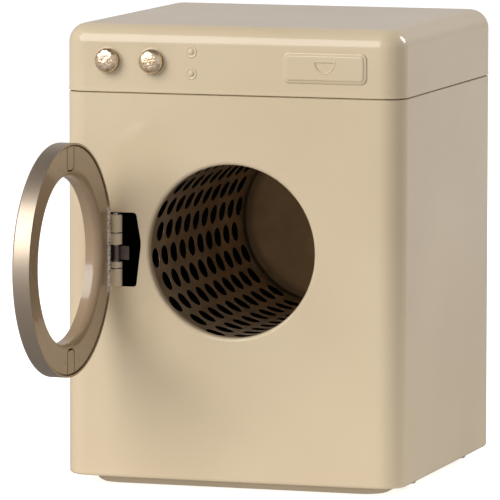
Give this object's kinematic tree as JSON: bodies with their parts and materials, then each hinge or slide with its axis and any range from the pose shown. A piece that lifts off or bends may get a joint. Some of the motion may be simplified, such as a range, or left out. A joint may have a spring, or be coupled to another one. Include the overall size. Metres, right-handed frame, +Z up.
{
  "type": "toy washing machine",
  "caption": "Doll-scale toy front-loading washing machine of painted sheet metal, with a hinged ring door, a turning perforated drum and turning knobs.",
  "frame": {"origin": "middle of the base tray's flat underside, on the surface that the toy stands on", "axes": "+Z up, front with the door towards -Y, +X to the right as seen from the front"},
  "size_m": [0.0948, 0.1569, 0.125],
  "materials": {
    "cream_paint": "semi-gloss cream enamel",
    "tray_paint": "satin cream enamel",
    "steel": "zinc plated",
    "spring_steel": "blackened",
    "drum_steel": "satin",
    "disc_steel": "satin, slightly golden",
    "brass": "polished, lacquered",
    "champagne": "metallic champagne lacquer",
    "tan_plastic": "high gloss",
    "white_plastic": "natural nylon"
  },
  "bodies": {
    "cabinet": {"cabinet_shell": "cream_paint", "top_lid": "cream_paint", "base_tray": "tray_paint", "rear_panel": "cream_paint", "base_tray_screw_1": "steel", "base_tray_screw_2": "steel", "base_tray_screw_3": "steel", "base_tray_screw_4": "steel", "rear_panel_screw_1": "steel", "rear_panel_screw_2": "steel", "rear_panel_screw_3": "steel", "rear_panel_screw_4": "steel", "bearing_cup": "cream_paint", "bearing_cup_rivet_1": "steel", "bearing_cup_rivet_2": "steel", "bearing_cup_rivet_3": "steel", "bearing_bush": "white_plastic", "hinge_bracket": "cream_paint", "hinge_pin": "steel"},
    "drum": {"drum_shell": "drum_steel", "drum_end_disc": "disc_steel", "drum_spindle": "steel", "spindle_spacer": "white_plastic", "spindle_washer": "steel", "spindle_clip": "spring_steel"},
    "left_knob": {"knob_left": "brass", "knob_spring_washer_left": "steel", "knob_clip_left": "spring_steel"},
    "right_knob": {"knob_right": "brass", "knob_spring_washer_right": "steel", "knob_clip_right": "spring_steel"},
    "door": {"door_ring": "champagne", "door_liner": "tan_plastic", "door_hinge_leaf": "cream_paint", "door_hinge_strip": "spring_steel", "strip_rivet": "steel"}
  },
  "joints": [
    {"name": "door_hinge", "type": "hinge", "parent": "cabinet", "child": "door", "pos_m": [-0.0323, -0.04625, 0.0649], "axis": [0, 0, 1], "range_deg": [-25, 91.8]},
    {"name": "drum_spin", "type": "hinge", "parent": "cabinet", "child": "drum", "pos_m": [0, 0, 0.0649], "axis": [0, 1, 0], "continuous": true},
    {"name": "knob_left_turn", "type": "hinge", "parent": "cabinet", "child": "left_knob", "pos_m": [-0.0344, -0.04625, 0.1154], "axis": [0, 1, 0], "continuous": true},
    {"name": "knob_right_turn", "type": "hinge", "parent": "cabinet", "child": "right_knob", "pos_m": [-0.022, -0.04625, 0.1154], "axis": [0, 1, 0], "continuous": true}
  ]
}
